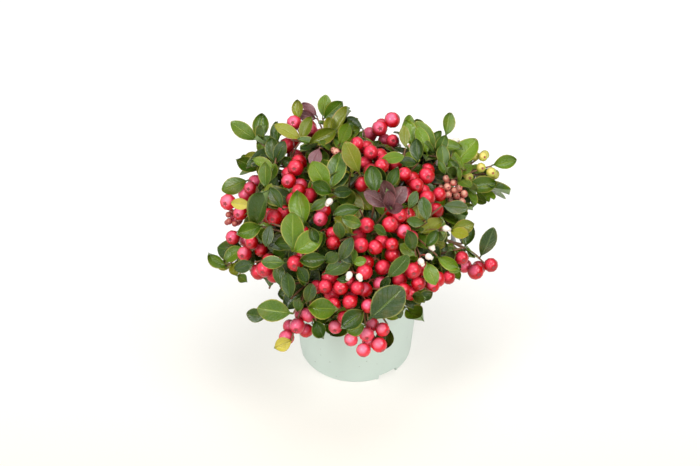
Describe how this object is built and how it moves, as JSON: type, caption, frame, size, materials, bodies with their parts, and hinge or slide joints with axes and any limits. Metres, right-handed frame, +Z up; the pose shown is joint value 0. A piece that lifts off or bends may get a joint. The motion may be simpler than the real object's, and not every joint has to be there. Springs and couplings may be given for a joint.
{
  "type": "potted wintergreen shrub",
  "caption": "Low evergreen berry shrub with leathery leaves and hanging berries on thin stems, in a round tapered plant pot.",
  "frame": {"origin": "centre of the pot's flat underside", "axes": "+Z up out of the pot, -Y towards the front of the plant as pictured, +X to the viewer's right"},
  "size_m": [0.2281, 0.2057, 0.1995],
  "materials": {
    "pot": "matt pale sage green, thermoformed, with fine dark specks",
    "compost": "dark brown peat compost",
    "bark": "thin reddish brown bark, satin",
    "foliage": "glossy leathery leaf, mid to dark green with a pale edge",
    "berry": "waxy deep pink to red berry",
    "blossom": "waxy white flower"
  },
  "bodies": {
    "root": {"pot": "pot", "compost": "compost", "rootstock": "bark", "stem_front_low": "bark", "foliage_front_low": "foliage", "stem_front_left_low": "bark", "foliage_front_left_low": "foliage", "stem_front_right_low": "bark", "foliage_front_right_low": "foliage", "stem_right_front_low": "bark", "foliage_right_front_low": "foliage", "stem_right_low": "bark", "foliage_right_low": "foliage", "stem_right_far": "bark", "foliage_right_far": "foliage", "stem_back_right_low": "bark", "foliage_back_right_low": "foliage", "stem_back_low": "bark", "foliage_back_low": "foliage", "stem_back_left_low": "bark", "foliage_back_left_low": "foliage", "stem_left_back_low": "bark", "foliage_left_back_low": "foliage", "stem_left_low": "bark", "foliage_left_low": "foliage", "stem_left_front_low": "bark", "foliage_left_front_low": "foliage", "stem_left_mid": "bark", "foliage_left_mid": "foliage", "stem_left_front": "bark", "foliage_left_front": "foliage", "stem_front_mid": "bark", "foliage_front_mid": "foliage", "stem_right_front": "bark", "foliage_right_front": "foliage", "stem_right_mid": "bark", "foliage_right_mid": "foliage", "stem_right_top": "bark", "foliage_right_top": "foliage", "stem_back_mid": "bark", "foliage_back_mid": "foliage", "stem_left_top": "bark", "foliage_left_top": "foliage", "stem_back_left_mid": "bark", "foliage_back_left_mid": "foliage", "stem_left_heart": "bark", "foliage_left_heart": "foliage", "stem_front_heart": "bark", "foliage_front_heart": "foliage", "stem_heart": "bark", "foliage_heart": "foliage", "stem_right_heart": "bark", "foliage_right_heart": "foliage", "stem_top_right": "bark", "foliage_top_right": "foliage", "stem_top_left": "bark", "foliage_top_left": "foliage"}
  },
  "joints": []
}
